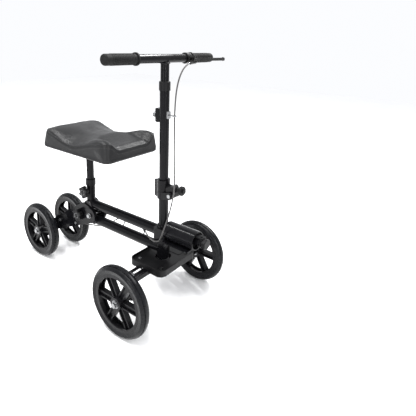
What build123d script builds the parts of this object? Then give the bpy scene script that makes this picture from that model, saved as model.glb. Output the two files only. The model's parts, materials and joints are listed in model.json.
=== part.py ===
from build123d import *
import math
import os

# Seated knee scooter: a two-tube frame with a steered pair of large front wheels,
# a folding rear arm with two smaller wheels, a footrest over the front axle, a
# height-adjustable seat and a steering column that folds forward.
# Millimetres. +X forward, +Y left, +Z up. The origin is on the ground, midway
# between the two ends and on the centre plane.

os.makedirs("parts", exist_ok=True)

# ---------------------------------------------------------------- overall sizes
wheelbase = 656
front_wheel_d = 252
rear_wheel_d = 240
front_track = 420
rear_track = 158
nose_reach = 194
handlebar_height = 903
handlebar_span = 504
seat_height = 540

# ---------------------------------------------------------------- clearances
running_fit = 0.04
sliding_fit = 0.08
open_pivot_fit = 0.3
side_gap = 0.5
end_float = 0.3

# ---------------------------------------------------------------- main tubes
beam_tube_r = 19
beam_wall = 2
upper_beam_z = 292
lower_beam_z = 228
column_x = rear_wheel_d / 2 + wheelbase - (rear_wheel_d / 2 + wheelbase + nose_reach) / 2
rear_axle_x = column_x - wheelbase
front_hub_z = front_wheel_d / 2
rear_hub_z = rear_wheel_d / 2

# ---------------------------------------------------------------- wheels
tyre_width = 36
tyre_depth = 25
crown_height = 12
rim_width = 30
rim_skin = 4
lip_depth = 12
groove_offset = 8
groove_width = 2.4
groove_depth = 1.6
spoke_width = 24
spoke_web = 5
spoke_rib = 4
spoke_depth = 18
hub_r = 23
front_hub_width = 40
rear_hub_width = 36
axle_r = 6
bearing_r = 14
bearing_width = 8
front_spokes = 6
rear_spokes = 5
front_spoke_turn = 0
rear_spoke_turn = 90

# ---------------------------------------------------------------- head and nose
head_tube_r = 23
head_tube_wall = 3
head_top_z = 313
head_bottom_z = 160
steerer_r = 12.5
steerer_bore = 9
head_bearing_height = 12
head_block_half = 26
head_block_bottom = 250
nose_tube_r = 32.5
nose_tube_wall = 4
nose_tube_z = 307.5
nose_tube_start = column_x + head_block_half
nose_tube_end = column_x + 154
nose_guide_recess = 16
nose_guide_width = 8
nose_plate_thickness = 5
nose_plate_half = 34
nose_plate_end = column_x + 138
stub_r = 15
stub_tail = 60
nose_end = column_x + nose_reach

# ---------------------------------------------------------------- front axle
axle_beam_z = 176
axle_beam_height = 22
axle_beam_depth = 24
kingpin_y = 155
kingpin_r = 6
kingpin_barrel_r = 14
kingpin_barrel_height = 30
knuckle_r = 15
steering_arm = 45
steering_arm_z = 152
steering_arm_thickness = 12
tie_rod_z = 170
tie_rod_r = 6
tie_eye_r = 9
tie_eye_height = 14
tie_pin_r = 5

# ---------------------------------------------------------------- footrest
deck_length = 157
deck_width = 190
deck_bottom_z = 181
deck_top_z = 205
deck_floor_bottom = 190
deck_floor = 6
deck_wall = 4
deck_corner_r = 24
deck_hole_r = head_tube_r + 6
deck_bolt_x = 52
deck_bolt_y = 66
tread_length = 84
tread_width = 48
tread_height = 1.5
tread_corner_r = 6
tread_y = 63

# ---------------------------------------------------------------- column
lower_column_r = 17.5
lower_column_bore = 15
column_ring_r = 22
column_ring_height = 8
fold_joint_z = 452
block_r = 23
lower_block_bottom = 424
upper_block_top = 492
fold_pin_x = column_x + 44
fold_pin_z = 446
fold_pin_r = 5
fold_ear_r = 13
fold_ear_inner = 15.5
fold_ear_thickness = 6
rear_lobe_reach = 42
rear_lobe_half = 16
upper_column_r = 16.5
upper_column_bore = 14.6
upper_column_top = 800
column_collar_r = 19
column_collar_height = 30
stem_r = 14.3
stem_bottom = 600
crossbar_r = 14.5
handle_wall = 2
grip_r = 16.5
grip_length = 124
grip_flange_r = 20
grip_flange_width = 5
guide_z = 720
guide_reach = 44
clamp_z = 715
clamp_height = 48
clamp_width = 16
clamp_reach = 30
knob_horn_z = 468
fold_knob_x = column_x + 76

# ---------------------------------------------------------------- brake lever
lever_bracket_y = 111
lever_bracket_width = 22
lever_bracket_r = 19
lever_pivot_x = column_x + 30
lever_pivot_y = 122
lever_pivot_r = 3
lever_z = 901
lever_thickness = 10
lever_ear_thickness = 6
lever_tip_x = column_x + 62
lever_tip_y = handlebar_span / 2 - 7

# ---------------------------------------------------------------- seat
seat_post_x = column_x - 399
seat_tube_r = 17.5
seat_tube_bore = 15
seat_tube_bottom = 262
seat_tube_top = 374
seat_collar_r = 20
seat_collar_height = 26
seat_post_r = 14.7
seat_post_wall = 2.2
seat_post_bottom = 268
post_hole_r = 4
post_hole_pitch = 22
post_hole_count = 8
post_hole_first = 349
seat_boss_r = 9
seat_boss_stand = 4
seat_length = 388
seat_width = 266
seat_thickness = 77
seat_centre_x = column_x - 333
seat_taper = 8
seat_plate_shift = 30
seat_corner_r = 30
seat_board_thickness = 10
seat_board_inset = 8
seat_plate_length = 170
seat_plate_width = 120
seat_plate_thickness = 4
seat_bolt_x = 65
seat_bolt_y = 42

# ---------------------------------------------------------------- rear arm
pivot_x = column_x - 374
pivot_z = 252
pivot_r = 5
hinge_plate_thickness = 4
hinge_plate_inner = beam_tube_r - 0.5
arm_plate_thickness = 4.5
arm_plate_inner = hinge_plate_inner + hinge_plate_thickness + side_gap
arm_plate_outer = arm_plate_inner + arm_plate_thickness
boss_r = 32
boss_stand = 4
hinge_r = 30
arm_lock_x = column_x - 438
arm_lock_z = 240
arm_bolt_a = (column_x - 470, 190)
arm_bolt_b = (column_x - 585, 167)
arm_tube_x = column_x - 560
arm_tube_z = 158
arm_tube_r = 9
lower_beam_rear = pivot_x + 8
upper_beam_rear = seat_post_x
spacer_r = 9
brake_r = 38
brake_drum_r = 30
brake_inner_y = 36
brake_outer_y = 58
brake_cam_x = rear_axle_x + 30
brake_cam_z = rear_hub_z + 36
cam_thickness = 3
cam_shaft_r = 5

# ---------------------------------------------------------------- knobs, cable
star_knob_r = 26
star_knob_depth = 15
star_lobes = 6
lock_pin_r = 4
cable_r = 2.5
cable_clearance = 0.3
clip_runs = (8, 11)

BASE = (Align.CENTER, Align.CENTER, Align.MIN)


# ---------------------------------------------------------------- helpers
def save(piece, label):
    """Label a finished piece and write it as one STEP file."""
    piece.label = label
    export_step(piece, f"parts/{label}.step")


def side_plane(y):
    """Upright plane at a given y: sketch x is forward, sketch y is up."""
    return Plane(origin=(0, y, 0), x_dir=(1, 0, 0), z_dir=(0, -1, 0))


def add_rod(start, end, radius, mode=Mode.ADD):
    """Add or cut a round bar between two points in the piece being built."""
    axis = Vector(*end) - Vector(*start)
    with Locations(Plane(origin=start, z_dir=axis)):
        Cylinder(radius, axis.length, align=BASE, mode=mode)


def add_hull_plate(plane, discs, thickness, mode=Mode.ADD):
    """Add or cut a flat plate wrapped around a few discs, centred on its plane."""
    with BuildSketch(plane) as outline:
        for across, up, radius in discs:
            with Locations((across, up)):
                Circle(radius)
        make_hull()
    extrude(outline.sketch, amount=thickness / 2, both=True, mode=mode)


def add_hex(start, end, radius):
    """Add a hexagonal bolt head or nut between two points."""
    axis = Vector(*end) - Vector(*start)
    with BuildSketch(Plane(origin=start, z_dir=axis)) as flats:
        RegularPolygon(radius, 6)
    extrude(flats.sketch, amount=axis.length)


# ---------------------------------------------------------------- wheels
def make_tyre(centre, radius):
    """Solid tyre with a round crown and two grooves."""
    inner = radius - tyre_depth
    shoulder = radius - crown_height
    half = tyre_width / 2
    seat = rim_width / 2
    with BuildPart() as tyre:
        with BuildSketch(Plane(origin=centre, x_dir=(0, 1, 0), z_dir=(1, 0, 0))):
            with BuildLine():
                Polyline((-half, shoulder), (-seat, inner), (seat, inner), (half, shoulder))
                ThreePointArc((-half, shoulder), (0, radius), (half, shoulder))
            make_face()
            groove_floor = radius - groove_depth - 2
            with Locations((-groove_offset, groove_floor + 5), (groove_offset, groove_floor + 5)):
                Rectangle(groove_width, 10, mode=Mode.SUBTRACT)
        revolve(axis=Axis(centre, (0, 1, 0)))
    return tyre.part


def make_rim(centre, radius, hub_width, spokes, turn, drum_side=0):
    """Moulded rim: lipped ring, channel spokes and a hub with bearing pockets."""
    seat_r = radius - tyre_depth
    ring_r = seat_r - rim_skin
    lip_r = seat_r - lip_depth
    half = rim_width / 2
    spoke_length = ring_r + 1 - (hub_r - 4)
    spoke_mid = hub_r - 4 + spoke_length / 2
    rib_offset = (spoke_width - spoke_rib) / 2
    side = Plane(origin=centre, x_dir=(1, 0, 0), z_dir=(0, -1, 0))
    with BuildPart() as rim:
        with BuildSketch(Plane(origin=centre, x_dir=(0, 1, 0), z_dir=(1, 0, 0))):
            with Locations((0, (ring_r + seat_r) / 2)):
                Rectangle(rim_width, seat_r - ring_r)
            with Locations((-half + 2.5, (lip_r + seat_r) / 2), (half - 2.5, (lip_r + seat_r) / 2)):
                Rectangle(5, seat_r - lip_r)
        revolve(axis=Axis(centre, (0, 1, 0)))
        with BuildSketch(side):
            with PolarLocations(spoke_mid, spokes, start_angle=turn):
                Rectangle(spoke_length, spoke_width)
        extrude(amount=spoke_web / 2, both=True)
        with BuildSketch(side):
            with PolarLocations(spoke_mid, spokes, start_angle=turn):
                with Locations((0, rib_offset), (0, -rib_offset)):
                    Rectangle(spoke_length, spoke_rib)
        extrude(amount=spoke_depth / 2, both=True)
        with BuildSketch(side):
            Circle(hub_r)
        extrude(amount=hub_width / 2, both=True)
        if drum_side:
            drum_plane = Plane(origin=centre, z_dir=(0, drum_side, 0)).offset(hub_width / 2 - 1)
            with BuildSketch(drum_plane):
                Circle(brake_drum_r)
            extrude(amount=rear_track / 2 - rear_hub_width / 2 - brake_inner_y - 8)
            with BuildSketch(drum_plane):
                Circle(bearing_r + 4)
            extrude(amount=30, mode=Mode.SUBTRACT)
            with BuildSketch(Plane(origin=centre, z_dir=(0, drum_side, 0)).offset(spoke_depth / 2)):
                Circle(brake_drum_r)
            extrude(amount=hub_width / 2 - spoke_depth / 2)
        with BuildSketch(side):
            Circle(axle_r + 3)
        extrude(amount=hub_width, both=True, mode=Mode.SUBTRACT)
        for end in (-1, 1):
            pocket = Plane(origin=centre, z_dir=(0, end, 0)).offset(hub_width / 2 - bearing_width)
            with BuildSketch(pocket):
                Circle(bearing_r)
            extrude(amount=bearing_width + 1, mode=Mode.SUBTRACT)
    return rim.part


def make_bearings(centre, hub_width):
    """The two bearings of one wheel."""
    with BuildPart() as bearings:
        for end in (-1, 1):
            seat = Plane(origin=centre, z_dir=(0, end, 0)).offset(hub_width / 2 - bearing_width)
            with BuildSketch(seat):
                Circle(bearing_r)
                Circle(axle_r + running_fit, mode=Mode.SUBTRACT)
            extrude(amount=bearing_width)
    return bearings.part


sides = {"left": 1, "right": -1}

for name, side in sides.items():
    front_centre = (column_x, side * front_track / 2, front_hub_z)
    rear_centre = (rear_axle_x, side * rear_track / 2, rear_hub_z)
    drum_side = 1 if name == "right" else 0
    save(make_tyre(front_centre, front_wheel_d / 2), f"front_tyre_{name}")
    save(make_tyre(rear_centre, rear_wheel_d / 2), f"rear_tyre_{name}")
    save(
        make_rim(front_centre, front_wheel_d / 2, front_hub_width, front_spokes, front_spoke_turn),
        f"front_rim_{name}",
    )
    save(
        make_rim(rear_centre, rear_wheel_d / 2, rear_hub_width, rear_spokes, rear_spoke_turn, drum_side),
        f"rear_rim_{name}",
    )
    save(make_bearings(front_centre, front_hub_width), f"front_bearings_{name}")
    save(make_bearings(rear_centre, rear_hub_width), f"rear_bearings_{name}")


# ---------------------------------------------------------------- frame

for label, height, rear_x in (
    ("upper_main_tube", upper_beam_z, upper_beam_rear),
    ("lower_main_tube", lower_beam_z, lower_beam_rear),
):
    with BuildPart() as main_tube:
        add_rod((rear_x, 0, height), (column_x, 0, height), beam_tube_r)
        add_rod((rear_x - 1, 0, height), (column_x, 0, height), beam_tube_r - beam_wall, Mode.SUBTRACT)
        add_rod((column_x, 0, head_bottom_z), (column_x, 0, head_top_z), head_tube_r, Mode.SUBTRACT)
        with Locations((column_x, 0, (head_top_z + head_block_bottom) / 2)):
            Box(
                2 * head_block_half,
                4 * head_block_half,
                head_top_z - head_block_bottom,
                mode=Mode.SUBTRACT,
            )
        add_rod(
            (seat_post_x, 0, seat_tube_bottom),
            (seat_post_x, 0, seat_tube_top),
            seat_tube_r,
            Mode.SUBTRACT,
        )
    save(main_tube.part.solids().sort_by(SortBy.VOLUME)[-1], label)

with BuildPart() as head_block:
    with Locations((column_x, 0, (head_top_z + head_block_bottom) / 2)):
        Box(2 * head_block_half, 2 * head_block_half, head_top_z - head_block_bottom)
    fillet(head_block.edges().filter_by(Axis.Z), radius=6)
    plate_start = column_x + head_block_half - 4
    plate_top = nose_tube_z - nose_tube_r
    with Locations(((plate_start + nose_plate_end) / 2, 0, plate_top - nose_plate_thickness / 2)):
        Box(nose_plate_end - plate_start, 2 * nose_plate_half, nose_plate_thickness)
    with BuildSketch(side_plane(0)):
        with BuildLine():
            Polyline(
                (column_x + head_block_half - 1, head_block_bottom + 2),
                (column_x + head_block_half - 1, plate_top - 1),
                (nose_plate_end - 30, plate_top - 1),
                close=True,
            )
        make_face()
    extrude(amount=3, both=True)
    add_rod((column_x, 0, head_bottom_z), (column_x, 0, head_top_z), head_tube_r)
    add_rod((column_x, 0, head_bottom_z), (column_x, 0, head_top_z), head_tube_r - head_tube_wall, Mode.SUBTRACT)
save(head_block.part, "head_block")

with BuildPart() as head_bearings:
    for base in (head_bottom_z, head_top_z - head_bearing_height):
        add_rod((column_x, 0, base), (column_x, 0, base + head_bearing_height), head_tube_r - head_tube_wall)
        add_rod(
            (column_x, 0, base),
            (column_x, 0, base + head_bearing_height),
            steerer_r + running_fit,
            Mode.SUBTRACT,
        )
save(head_bearings.part, "head_bearings")

with BuildPart() as front_axle_beam:
    with Locations((column_x, 0, axle_beam_z)):
        Box(axle_beam_depth, 2 * kingpin_y, axle_beam_height)
    fillet(front_axle_beam.edges().filter_by(Axis.Y), radius=4)
    beam_bottom = axle_beam_z - axle_beam_height / 2
    beam_top = axle_beam_z + axle_beam_height / 2
    add_rod((column_x, 0, beam_bottom), (column_x, 0, beam_top), head_tube_r + 5)
    barrel_low = axle_beam_z - kingpin_barrel_height / 2
    barrel_high = axle_beam_z + kingpin_barrel_height / 2
    for side in sides.values():
        barrel_y = side * kingpin_y
        add_rod((column_x, barrel_y, barrel_low), (column_x, barrel_y, barrel_high), kingpin_barrel_r)
        add_rod(
            (column_x, barrel_y, barrel_low),
            (column_x, barrel_y, barrel_high),
            kingpin_r + running_fit,
            Mode.SUBTRACT,
        )
    add_rod((column_x, 0, beam_bottom), (column_x, 0, beam_top), head_tube_r, Mode.SUBTRACT)
    for side in sides.values():
        with Locations((column_x, side * deck_bolt_y, (beam_top + deck_floor_bottom) / 2)):
            Box(2 * deck_bolt_x + 24, 22, deck_floor_bottom - beam_top)
save(front_axle_beam.part, "front_axle_beam")

with BuildPart() as foot_deck:
    with BuildSketch(Plane.XY.offset(deck_bottom_z)):
        with Locations((column_x, 0)):
            RectangleRounded(deck_length, deck_width, deck_corner_r)
    extrude(amount=deck_top_z - deck_bottom_z)
    fillet(foot_deck.faces().sort_by(Axis.Z)[-1].edges(), radius=1.5)
    with BuildSketch(Plane.XY.offset(deck_floor_bottom + deck_floor)):
        with Locations((column_x, 0)):
            RectangleRounded(
                deck_length - 2 * deck_wall,
                deck_width - 2 * deck_wall,
                deck_corner_r - deck_wall,
            )
    extrude(amount=deck_top_z - deck_floor_bottom, mode=Mode.SUBTRACT)
    with BuildSketch(Plane.XY.offset(deck_bottom_z)):
        with Locations((column_x, 0)):
            RectangleRounded(
                deck_length - 2 * deck_wall,
                deck_width - 2 * deck_wall,
                deck_corner_r - deck_wall,
            )
    extrude(amount=deck_floor_bottom - deck_bottom_z, mode=Mode.SUBTRACT)
    with Locations((column_x, 0, deck_bottom_z)):
        Box(
            axle_beam_depth + 4,
            2 * deck_width,
            2 * (beam_top + 1 - deck_bottom_z),
            mode=Mode.SUBTRACT,
        )
    add_rod((column_x, 0, deck_bottom_z), (column_x, 0, deck_top_z), deck_hole_r, Mode.SUBTRACT)
    with Locations(
        Plane.XY.offset(deck_floor_bottom + deck_floor) * Location((column_x, 0, 0))
    ):
        with GridLocations(2 * deck_bolt_x, 2 * deck_bolt_y, 2, 2):
            Hole(3.2, depth=deck_floor)
    with BuildSketch(Plane.XY.offset(deck_floor_bottom + deck_floor)):
        with Locations((column_x, tread_y), (column_x, -tread_y)):
            RectangleRounded(tread_length, tread_width, tread_corner_r)
    extrude(amount=tread_height)
save(foot_deck.part, "foot_deck")

with BuildPart() as frame_bolts:
    floor_top = deck_floor_bottom + deck_floor
    for across in (-deck_bolt_x, deck_bolt_x):
        for side in sides.values():
            spot = (column_x + across, side * deck_bolt_y)
            add_rod((*spot, deck_floor_bottom), (*spot, floor_top), 3)
            add_rod((*spot, floor_top), (*spot, floor_top + 3), 6)
    bolt_end = arm_plate_outer + boss_stand
    add_rod((pivot_x, -bolt_end - 1, pivot_z), (pivot_x, bolt_end + 1, pivot_z), pivot_r)
    for side in sides.values():
        face = side * (bolt_end + end_float)
        add_rod((pivot_x, face, pivot_z), (pivot_x, face + side * 1.5, pivot_z), 10)
        add_hex((pivot_x, face + side * 1.5, pivot_z), (pivot_x, face + side * 8, pivot_z), 8.5)
save(frame_bolts.part, "frame_bolts")

with BuildPart() as nose_tube:
    add_rod((nose_tube_start, 0, nose_tube_z), (nose_tube_end, 0, nose_tube_z), nose_tube_r)
    add_rod(
        (nose_tube_start + nose_tube_wall, 0, nose_tube_z),
        (nose_tube_end + 1, 0, nose_tube_z),
        nose_tube_r - nose_tube_wall,
        Mode.SUBTRACT,
    )
    fillet(nose_tube.faces().sort_by(Axis.X)[-1].edges(), radius=1.2)
save(nose_tube.part, "nose_tube")

guide_front = nose_tube_end - nose_guide_recess
with BuildPart() as nose_guide:
    for front in (guide_front, nose_tube_start + nose_tube_wall + 30):
        add_rod(
            (front - nose_guide_width, 0, nose_tube_z),
            (front, 0, nose_tube_z),
            nose_tube_r - nose_tube_wall,
        )
    add_rod(
        (nose_tube_start, 0, nose_tube_z),
        (nose_tube_end, 0, nose_tube_z),
        stub_r + sliding_fit,
        Mode.SUBTRACT,
    )
save(nose_guide.part, "nose_guide")

with BuildPart() as rear_bracket:
    plate_discs = (
        (seat_post_x + 2, upper_beam_z - 2, 20),
        (pivot_x, pivot_z, hinge_r),
        (pivot_x + 14, lower_beam_z + 4, 16),
        (arm_lock_x, arm_lock_z, 12),
    )
    plate_y = hinge_plate_inner + hinge_plate_thickness / 2
    for side in sides.values():
        add_hull_plate(side_plane(side * plate_y), plate_discs, hinge_plate_thickness)
    for height, rear_x in ((upper_beam_z, upper_beam_rear), (lower_beam_z, lower_beam_rear)):
        add_rod((rear_x, 0, height), (column_x, 0, height), beam_tube_r, Mode.SUBTRACT)
    add_rod((pivot_x, -60, pivot_z), (pivot_x, 60, pivot_z), pivot_r, Mode.SUBTRACT)
    add_rod((arm_lock_x, -60, arm_lock_z), (arm_lock_x, 0, arm_lock_z), lock_pin_r + sliding_fit, Mode.SUBTRACT)
    add_rod((seat_post_x, 0, seat_tube_bottom), (seat_post_x, 0, seat_tube_top), seat_tube_r)
    add_rod((seat_post_x, 0, seat_tube_bottom), (seat_post_x, 0, seat_tube_top), seat_tube_bore, Mode.SUBTRACT)
    knob_z = post_hole_first
    boss_face = -seat_tube_r - seat_boss_stand
    add_rod((seat_post_x, boss_face, knob_z), (seat_post_x, -seat_tube_bore - 1, knob_z), seat_boss_r)
    add_rod(
        (seat_post_x, boss_face - 1, knob_z),
        (seat_post_x, 0, knob_z),
        lock_pin_r + running_fit,
        Mode.SUBTRACT,
    )
save(rear_bracket.part, "rear_bracket")

with BuildPart() as seat_tube_collar:
    add_rod(
        (seat_post_x, 0, seat_tube_top),
        (seat_post_x, 0, seat_tube_top + seat_collar_height),
        seat_collar_r,
    )
    fillet(seat_tube_collar.faces().sort_by(Axis.Z)[-1].edges(), radius=3)
    add_rod(
        (seat_post_x, 0, seat_tube_top),
        (seat_post_x, 0, seat_tube_top + seat_collar_height),
        seat_post_r + sliding_fit,
        Mode.SUBTRACT,
    )
save(seat_tube_collar.part, "seat_tube_collar")

# ---------------------------------------------------------------- rear arm
with BuildPart() as arm_plates:
    arm_discs = (
        (rear_axle_x, rear_hub_z, 22),
        (pivot_x, pivot_z, boss_r),
        (seat_post_x - 18, upper_beam_z - 12, 17),
        (*arm_bolt_a, 12),
    )
    for side in sides.values():
        plate_y = side * (arm_plate_inner + arm_plate_thickness / 2)
        add_hull_plate(side_plane(plate_y), arm_discs, arm_plate_thickness)
        boss_start = (pivot_x, side * arm_plate_inner, pivot_z)
        boss_end = (pivot_x, side * (arm_plate_outer + boss_stand), pivot_z)
        add_rod(boss_start, boss_end, boss_r)
    add_rod((arm_tube_x, -arm_plate_inner - 1, arm_tube_z), (arm_tube_x, arm_plate_inner + 1, arm_tube_z), arm_tube_r)
    add_rod((pivot_x, -60, pivot_z), (pivot_x, 60, pivot_z), pivot_r + running_fit, Mode.SUBTRACT)
    add_rod((rear_axle_x, -60, rear_hub_z), (rear_axle_x, 60, rear_hub_z), axle_r, Mode.SUBTRACT)
    add_rod((arm_lock_x, -60, arm_lock_z), (arm_lock_x, 0, arm_lock_z), lock_pin_r + running_fit, Mode.SUBTRACT)
    cam_bore = cam_shaft_r + running_fit
    add_rod((brake_cam_x, -60, brake_cam_z), (brake_cam_x, 0, brake_cam_z), cam_bore, Mode.SUBTRACT)
save(arm_plates.part, "arm_plates")

rear_hub_inner = rear_track / 2 - rear_hub_width / 2
rear_hub_outer = rear_track / 2 + rear_hub_width / 2
with BuildPart() as rear_axle:
    axle_end = rear_hub_outer + end_float
    add_rod((rear_axle_x, -axle_end, rear_hub_z), (rear_axle_x, axle_end, rear_hub_z), axle_r)
    for side in sides.values():
        spacer_start = (rear_axle_x, side * arm_plate_outer, rear_hub_z)
        spacer_end = (rear_axle_x, side * (rear_hub_inner - end_float), rear_hub_z)
        add_rod(spacer_start, spacer_end, spacer_r)
    inner_start = (rear_axle_x, -arm_plate_inner, rear_hub_z)
    inner_end = (rear_axle_x, arm_plate_inner, rear_hub_z)
    add_rod(inner_start, inner_end, spacer_r)
    for side in sides.values():
        washer = side * (rear_hub_outer + end_float)
        add_rod((rear_axle_x, washer, rear_hub_z), (rear_axle_x, washer + side * 2, rear_hub_z), 11)
        add_hex(
            (rear_axle_x, washer + side * 2, rear_hub_z),
            (rear_axle_x, washer + side * 8, rear_hub_z),
            9.5,
        )
        for bolt_x, bolt_z in (arm_bolt_a, arm_bolt_b):
            head = side * arm_plate_outer
            add_hex((bolt_x, head, bolt_z), (bolt_x, head + side * 5, bolt_z), 6.5)
save(rear_axle.part, "rear_axle")

with BuildPart() as brake_housing:
    add_rod((rear_axle_x, -brake_inner_y, rear_hub_z), (rear_axle_x, -brake_outer_y, rear_hub_z), brake_r)
    add_rod(
        (rear_axle_x, -brake_inner_y - 4, rear_hub_z),
        (rear_axle_x, -brake_outer_y - 1, rear_hub_z),
        brake_drum_r + 3,
        Mode.SUBTRACT,
    )
    add_rod((rear_axle_x, -arm_plate_outer, rear_hub_z), (rear_axle_x, -brake_inner_y - 1, rear_hub_z), 16)
    add_rod((rear_axle_x, -20, rear_hub_z), (rear_axle_x, -70, rear_hub_z), spacer_r, Mode.SUBTRACT)
save(brake_housing.part, "brake_housing")

with BuildPart() as brake_cam:
    cam_y = -arm_plate_inner + side_gap + cam_thickness / 2
    cam_discs = (
        (brake_cam_x, brake_cam_z, 7),
        (brake_cam_x + 20, brake_cam_z + 26, 5),
    )
    add_hull_plate(side_plane(cam_y), cam_discs, cam_thickness)
    cam_end = -brake_inner_y + side_gap
    add_rod((brake_cam_x, cam_y, brake_cam_z), (brake_cam_x, cam_end, brake_cam_z), cam_shaft_r)
save(brake_cam.part, "brake_cam")

# ---------------------------------------------------------------- steering
with BuildPart() as steering_column:
    arm_low = steering_arm_z - steering_arm_thickness / 2
    arm_high = steering_arm_z + steering_arm_thickness / 2
    add_rod((column_x, 0, arm_low), (column_x, 0, head_top_z + 2), steerer_r)
    ring_low = head_top_z + side_gap
    add_rod((column_x, 0, ring_low), (column_x, 0, ring_low + column_ring_height), column_ring_r)
    add_rod((column_x, 0, ring_low), (column_x, 0, fold_joint_z - 6), lower_column_r)
    add_rod((column_x, 0, head_top_z + 20), (column_x, 0, fold_joint_z), lower_column_bore, Mode.SUBTRACT)
    add_rod((column_x, 0, arm_low - 1), (column_x, 0, head_top_z + 21), steerer_bore, Mode.SUBTRACT)
    arm_discs = ((column_x, 0, 20), (column_x - steering_arm, 0, 11))
    add_hull_plate(Plane.XY.offset(steering_arm_z), arm_discs, steering_arm_thickness)
    add_rod(
        (column_x - steering_arm, 0, arm_high - 1),
        (column_x - steering_arm, 0, tie_rod_z + tie_eye_height / 2 + 1),
        tie_pin_r,
    )
save(steering_column.part, "steering_column")

for name, side in sides.items():
    pin_y = side * kingpin_y
    hub_face = side * (front_track / 2 - front_hub_width / 2 - end_float)
    hub_end = side * (front_track / 2 + front_hub_width / 2 + end_float)
    with BuildPart() as knuckle:
        add_rod((column_x, pin_y, front_hub_z - 18), (column_x, pin_y, barrel_low - side_gap), knuckle_r)
        add_rod((column_x, pin_y, front_hub_z), (column_x, pin_y, barrel_high + 1), kingpin_r)
        add_rod((column_x, pin_y, front_hub_z), (column_x, hub_face, front_hub_z), 10)
        add_rod((column_x, pin_y, front_hub_z), (column_x, hub_end, front_hub_z), axle_r)
        arm_discs = ((column_x, pin_y, 13), (column_x - steering_arm, pin_y, 10))
        add_hull_plate(Plane.XY.offset(steering_arm_z), arm_discs, steering_arm_thickness)
        add_rod(
            (column_x - steering_arm, pin_y, steering_arm_z),
            (column_x - steering_arm, pin_y, tie_rod_z + tie_eye_height / 2 + 1),
            tie_pin_r,
        )
    save(knuckle.part, f"knuckle_{name}")
    with BuildPart() as knuckle_nuts:
        add_rod((column_x, hub_end, front_hub_z), (column_x, hub_end + side * 2, front_hub_z), 11)
        add_hex(
            (column_x, hub_end + side * 2, front_hub_z),
            (column_x, hub_end + side * 8, front_hub_z),
            9.5,
        )
        add_hex(
            (column_x, pin_y, barrel_high + 1),
            (column_x, pin_y, barrel_high + 8),
            9,
        )
    save(knuckle_nuts.part, f"knuckle_nuts_{name}")

with BuildPart() as tie_rod:
    rod_x = column_x - steering_arm
    eye_low = tie_rod_z - tie_eye_height / 2
    eye_high = tie_rod_z + tie_eye_height / 2
    add_rod((rod_x, -kingpin_y, tie_rod_z), (rod_x, kingpin_y, tie_rod_z), tie_rod_r)
    for eye_y in (-kingpin_y, 0, kingpin_y):
        add_rod((rod_x, eye_y, eye_low), (rod_x, eye_y, eye_high), tie_eye_r)
    for eye_y in (-kingpin_y, kingpin_y):
        add_rod((rod_x, eye_y, eye_low), (rod_x, eye_y, eye_high), tie_pin_r + open_pivot_fit, Mode.SUBTRACT)
    add_rod((rod_x, 0, eye_low), (rod_x, 0, eye_high), tie_pin_r + running_fit, Mode.SUBTRACT)
save(tie_rod.part, "tie_rod")

# ---------------------------------------------------------------- folding joint
with BuildPart() as lower_fold_block:
    block_top = fold_joint_z - side_gap / 2
    block_mid = (lower_block_bottom + block_top) / 2
    block_height = block_top - lower_block_bottom
    add_rod((column_x, 0, lower_block_bottom), (column_x, 0, block_top), block_r)
    add_hull_plate(
        Plane.XY.offset(block_mid),
        ((column_x, 0, rear_lobe_half), (column_x - rear_lobe_reach + 6, 0, 6)),
        block_height,
    )
    ear_y = fold_ear_inner + fold_ear_thickness / 2
    ear_discs = (
        (fold_pin_x, fold_pin_z, fold_ear_r),
        (column_x + 12, lower_block_bottom + 8, 8),
        (column_x + 12, block_top - 10, 8),
    )
    for side in sides.values():
        add_hull_plate(side_plane(side * ear_y), ear_discs, fold_ear_thickness)
    add_rod((column_x, 0, 0), (column_x, 0, fold_joint_z - 6), lower_column_r, Mode.SUBTRACT)
    add_rod((fold_pin_x, -40, fold_pin_z), (fold_pin_x, 40, fold_pin_z), fold_pin_r, Mode.SUBTRACT)
save(lower_fold_block.part, "lower_fold_block")

with BuildPart() as fold_pin:
    ear_outer = fold_ear_inner + fold_ear_thickness
    add_rod((fold_pin_x, -ear_outer - 1, fold_pin_z), (fold_pin_x, ear_outer + 1, fold_pin_z), fold_pin_r)
    for side in sides.values():
        add_hex((fold_pin_x, side * ear_outer, fold_pin_z), (fold_pin_x, side * (ear_outer + 5), fold_pin_z), 7.5)
save(fold_pin.part, "fold_pin")

with BuildPart() as upper_fold_block:
    block_base = fold_joint_z + side_gap / 2
    tongue_half = fold_ear_inner - side_gap
    add_rod((column_x, 0, block_base), (column_x, 0, upper_block_top), block_r)
    add_hull_plate(
        Plane.XY.offset((block_base + upper_block_top - 8) / 2),
        ((column_x, 0, rear_lobe_half), (column_x - rear_lobe_reach + 6, 0, 6)),
        upper_block_top - 8 - block_base,
    )
    tongue_discs = (
        (fold_pin_x, fold_pin_z, fold_ear_r - 1),
        (column_x + 30, block_base + 10, 9),
        (fold_pin_x + 2, knob_horn_z + 2, 10),
    )
    add_hull_plate(side_plane(0), tongue_discs, 2 * tongue_half)
    add_rod((column_x, 0, knob_horn_z), (fold_pin_x + 18, 0, knob_horn_z), 11)
    add_rod((column_x, 0, block_base + 12), (column_x, 0, upper_block_top + 1), upper_column_r, Mode.SUBTRACT)
    add_rod((column_x, 0, fold_joint_z - 40), (column_x, 0, block_base), block_r + side_gap, Mode.SUBTRACT)
    add_rod((fold_pin_x, -40, fold_pin_z), (fold_pin_x, 40, fold_pin_z), fold_pin_r + running_fit, Mode.SUBTRACT)
    add_rod((column_x + 30, 0, knob_horn_z), (fold_pin_x + 30, 0, knob_horn_z), lock_pin_r + running_fit, Mode.SUBTRACT)
save(upper_fold_block.part, "upper_fold_block")

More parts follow.
